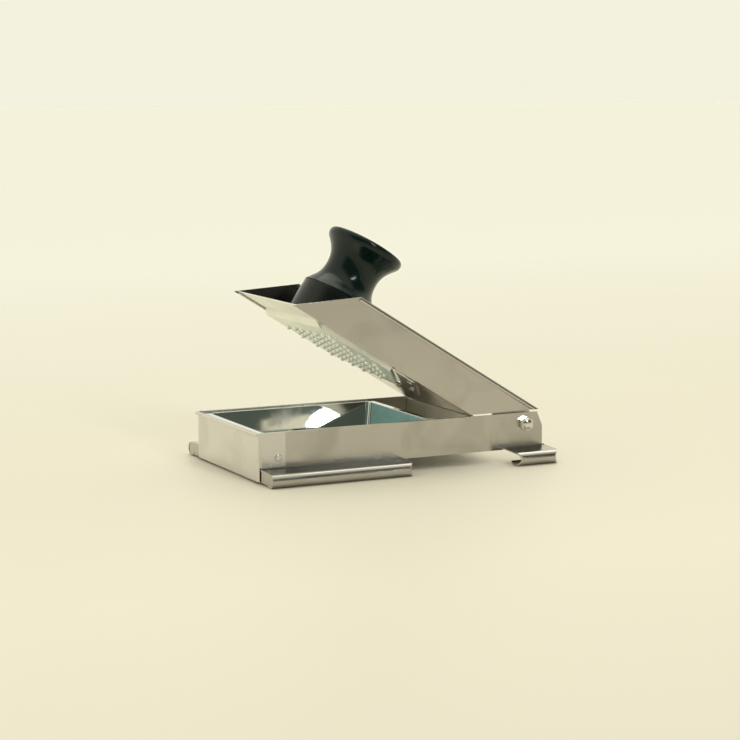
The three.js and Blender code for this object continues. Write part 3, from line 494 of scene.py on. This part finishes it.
def black_moulding(name, colour, roughness):
    """Glossy black moulded plastic with faint flow marks and paler handled patches."""
    handled_gain = 1.9
    handled = [channel * handled_gain for channel in colour]
    plastic = bpy.data.materials.new(name)
    plastic.use_nodes = True
    nodes = plastic.node_tree.nodes
    links = plastic.node_tree.links
    shader = nodes["Principled BSDF"]
    shader.inputs["IOR"].default_value = 1.38
    place = nodes.new("ShaderNodeTexCoord")
    marks = nodes.new("ShaderNodeGroup")
    marks.node_tree = handling_marks
    flow = nodes.new("ShaderNodeTexNoise")
    flow.inputs["Scale"].default_value = 95.0
    flow.inputs["Detail"].default_value = 4.0
    tint = nodes.new("ShaderNodeMix")
    tint.data_type = "RGBA"
    tint.inputs["A"].default_value = (*colour, 1)
    tint.inputs["B"].default_value = (*handled, 1)
    gloss = nodes.new("ShaderNodeMapRange")
    gloss.inputs["To Min"].default_value = roughness[0]
    gloss.inputs["To Max"].default_value = roughness[1]
    bump = nodes.new("ShaderNodeBump")
    bump.inputs["Strength"].default_value = 0.06
    bump.inputs["Distance"].default_value = 0.0002
    links.new(place.outputs["Object"], marks.inputs["Vector"])
    links.new(place.outputs["Object"], flow.inputs["Vector"])
    links.new(marks.outputs["Smears"], tint.inputs["Factor"])
    links.new(tint.outputs["Result"], shader.inputs["Base Color"])
    links.new(flow.outputs["Fac"], gloss.inputs["Value"])
    links.new(gloss.outputs["Result"], shader.inputs["Roughness"])
    links.new(flow.outputs["Fac"], bump.inputs["Height"])
    links.new(bump.outputs["Normal"], shader.inputs["Normal"])
    return plastic


carriage_plastic = black_moulding("carriage_plastic", (0.008, 0.011, 0.009), (0.12, 0.22))
deburred("carriage", "slide_carriage", "carriage", "black_plastic", carriage_plastic, edge=0.0004)


# The pusher: a waisted black plastic knob that fills the palm, moulded in one with the plunger below.
# A plate of steel prongs under the plunger grips the food. One screw and washer hold the plate on.

knob_plastic = black_moulding("knob_plastic", (0.003, 0.012, 0.010), (0.14, 0.21))
knob_top_radius = 0.0296
knob_rim_height = 0.007
knob_waist_radius = 0.020
knob_waist_below_top = 0.0246
knob_ridge_radius = 0.0283
knob_ridge_n = 0.0307
knob_top_n = 0.0742
plunger_radius = 0.0246
plunger_bottom_n = 0.009
bore_radius = 0.0018
bore_depth = 0.014
plunger_corner = 0.0004
ridge_corner = 0.0003
knob_steps = 160
knob_merge = 0.000002
knob_sharp_deg = 35
pivot_s = 0.2099
pivot_n = 0.01575
deck_up = Vector(joints["pusher_lift"]["axis"])
deck_start = Vector(joints["deck_hinge"]["pos_m"]) - pivot_s * slide_axis - pivot_n * deck_up
deck_frame = Matrix((slide_axis, (0, 1, 0), deck_up)).transposed().to_4x4()
deck_frame.translation = deck_start
washer_low, washer_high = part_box("knob_washer")
washer_middle = (washer_low + washer_high) / 2
knob_s = round((washer_middle - deck_start).dot(slide_axis), 4)


def bezier(start, leave, arrive, end, steps):
    """Points along one smooth curve in the knob's side view, the start left out."""
    points = []
    for step in range(1, steps + 1):
        t = step / steps
        points.append(tuple(
            (1 - t) ** 3 * a + 3 * (1 - t) ** 2 * t * b + 3 * (1 - t) * t ** 2 * c + t ** 3 * d
            for a, b, c, d in zip(start, leave, arrive, end)))
    return points


waist_n = knob_top_n - knob_waist_below_top
rim_n = knob_top_n - knob_rim_height
ridge = (knob_ridge_radius, knob_ridge_n)
ridge_leave = (knob_ridge_radius - 0.0035, knob_ridge_n + 0.006)
waist_arrive = (knob_waist_radius, waist_n - 0.011)
waist = (knob_waist_radius, waist_n)
waist_leave = (knob_waist_radius, waist_n + 0.009)
rim_arrive = (knob_top_radius - 0.005, rim_n - 0.004)
rim = (knob_top_radius - 0.0016, rim_n)
rim_leave = (knob_top_radius + 0.0006, rim_n + 0.0026)
crown_arrive = (knob_top_radius, knob_top_n - 0.0006)
crown = (knob_top_radius - 0.002, knob_top_n - 0.0003)
crown_leave = (knob_top_radius - 0.004, knob_top_n - 0.0001)
middle_arrive = (knob_top_radius * 0.6, knob_top_n)
middle = (0, knob_top_n)
knob_side = [(0, plunger_bottom_n + bore_depth), (bore_radius, plunger_bottom_n + bore_depth),
             (bore_radius, plunger_bottom_n), (plunger_radius - plunger_corner, plunger_bottom_n),
             (plunger_radius, plunger_bottom_n + plunger_corner), (plunger_radius, knob_ridge_n),
             (knob_ridge_radius - ridge_corner, knob_ridge_n),
             (knob_ridge_radius, knob_ridge_n + ridge_corner)]
knob_side += bezier(ridge, ridge_leave, waist_arrive, waist, steps=22)
knob_side += bezier(waist, waist_leave, rim_arrive, rim, steps=22)
knob_side += bezier(rim, rim_leave, crown_arrive, crown, steps=12)
knob_side += bezier(crown, crown_leave, middle_arrive, middle, steps=10)
knob_shape = bmesh.new()
knob_line = [knob_shape.verts.new((radius, 0, n)) for radius, n in knob_side]
knob_edges = [knob_shape.edges.new(pair) for pair in zip(knob_line, knob_line[1:])]
bmesh.ops.spin(knob_shape, geom=knob_line + knob_edges, cent=(0, 0, 0), axis=(0, 0, 1),
               angle=math.tau, steps=knob_steps, use_merge=True)
bmesh.ops.remove_doubles(knob_shape, verts=knob_shape.verts, dist=knob_merge)
bmesh.ops.recalc_face_normals(knob_shape, faces=knob_shape.faces)
bmesh.ops.translate(knob_shape, verts=knob_shape.verts, vec=(knob_s, 0, 0))
bmesh.ops.transform(knob_shape, verts=knob_shape.verts, matrix=deck_frame)
for face in knob_shape.faces:
    face.smooth = True
knob_data = bpy.data.meshes.new("knob")
knob_shape.to_mesh(knob_data)
knob_shape.free()
knob_data.set_sharp_from_angle(angle=math.radians(knob_sharp_deg))
place_piece("knob", knob_data, [knob_plastic], "pusher", "black_plastic", "pusher_knob")
deburred("prongs", "prong_plate", "pusher", "blade_steel", blade_steel, edge=0.00005)
deburred("washer", "knob_washer", "pusher", "bolt_steel", plated_steel)
deburred("screw", "knob_screw", "pusher", "bolt_steel", plated_steel)
